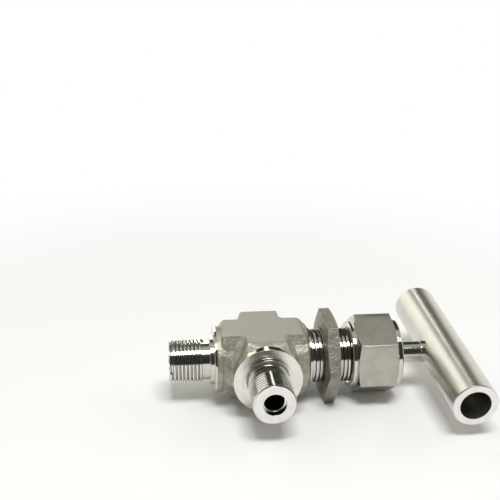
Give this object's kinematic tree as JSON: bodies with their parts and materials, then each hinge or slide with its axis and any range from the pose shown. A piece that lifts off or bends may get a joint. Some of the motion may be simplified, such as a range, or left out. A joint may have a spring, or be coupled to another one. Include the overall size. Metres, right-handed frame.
{
  "type": "angle needle valve",
  "caption": "Angle pattern needle valve with two male taper thread ports, a long packing nut, a panel nut on a threaded neck and a tube handle across the stem.",
  "frame": {"origin": "where the stem's axis meets the side port's axis, in the middle of the forging", "axes": "+X along the stem towards the handle, so the bottom port faces -X; the side port faces -Y and the forging's closed block +Y; +Z is square to the forging's flat pads, and the valve lies on its nuts as in the picture"},
  "size_m": [0.1512, 0.1002, 0.0418],
  "materials": {
    "forged_body": "sand blasted forging with machined ports and neck",
    "blasted_nut": "blasted faces",
    "nut_steel": "fine grained faces and turned rings",
    "turned_steel": "bright turned",
    "brushed_tube": "satin brushed along the tube",
    "white_packing": "smooth",
    "beige_plastic": "machined plastic"
  },
  "bodies": {
    "root": {"body": "forged_body", "upper_packing": "white_packing", "packing_ring_1": "white_packing", "packing_ring_2": "white_packing", "packing_ring_3": "white_packing", "lower_packing": "white_packing", "packing_washer": "turned_steel"},
    "lock_nut": {"lock_nut": "blasted_nut"},
    "gland": {"gland": "turned_steel"},
    "packing_nut": {"packing_nut": "nut_steel", "stem_wiper": "beige_plastic"},
    "needle": {"needle": "turned_steel", "needle_insert": "beige_plastic", "thrust_ball": "turned_steel"},
    "stem": {"stem": "turned_steel", "needle_pins": "turned_steel", "handle_tube": "brushed_tube", "handle_collar": "turned_steel", "handle_screw": "turned_steel"}
  },
  "joints": [
    {"name": "needle_lift", "type": "slide", "parent": "root", "child": "needle", "axis": [1, 0, 0], "range_m": [0, 0.007]},
    {"name": "stem_turn", "type": "hinge", "parent": "needle", "child": "stem", "pos_m": [0, 0, 0], "axis": [1, 0, 0], "range_deg": [0, 1260]},
    {"name": "gland_lift", "type": "slide", "parent": "root", "child": "gland", "axis": [1, 0, 0], "range_m": [0, 0.002]},
    {"name": "packing_nut_turn", "type": "hinge", "parent": "gland", "child": "packing_nut", "pos_m": [0.05585, 0, 0], "axis": [1, 0, 0], "range_deg": [0, 360]},
    {"name": "lock_nut_travel", "type": "slide", "parent": "root", "child": "lock_nut", "axis": [1, 0, 0], "range_m": [0, 0.0068]}
  ],
  "couplings": [
    {"joint": "needle_lift", "follows": "stem_turn", "m_per_rad": 0.00031831},
    {"joint": "gland_lift", "follows": "packing_nut_turn", "m_per_rad": 0.00031831}
  ]
}
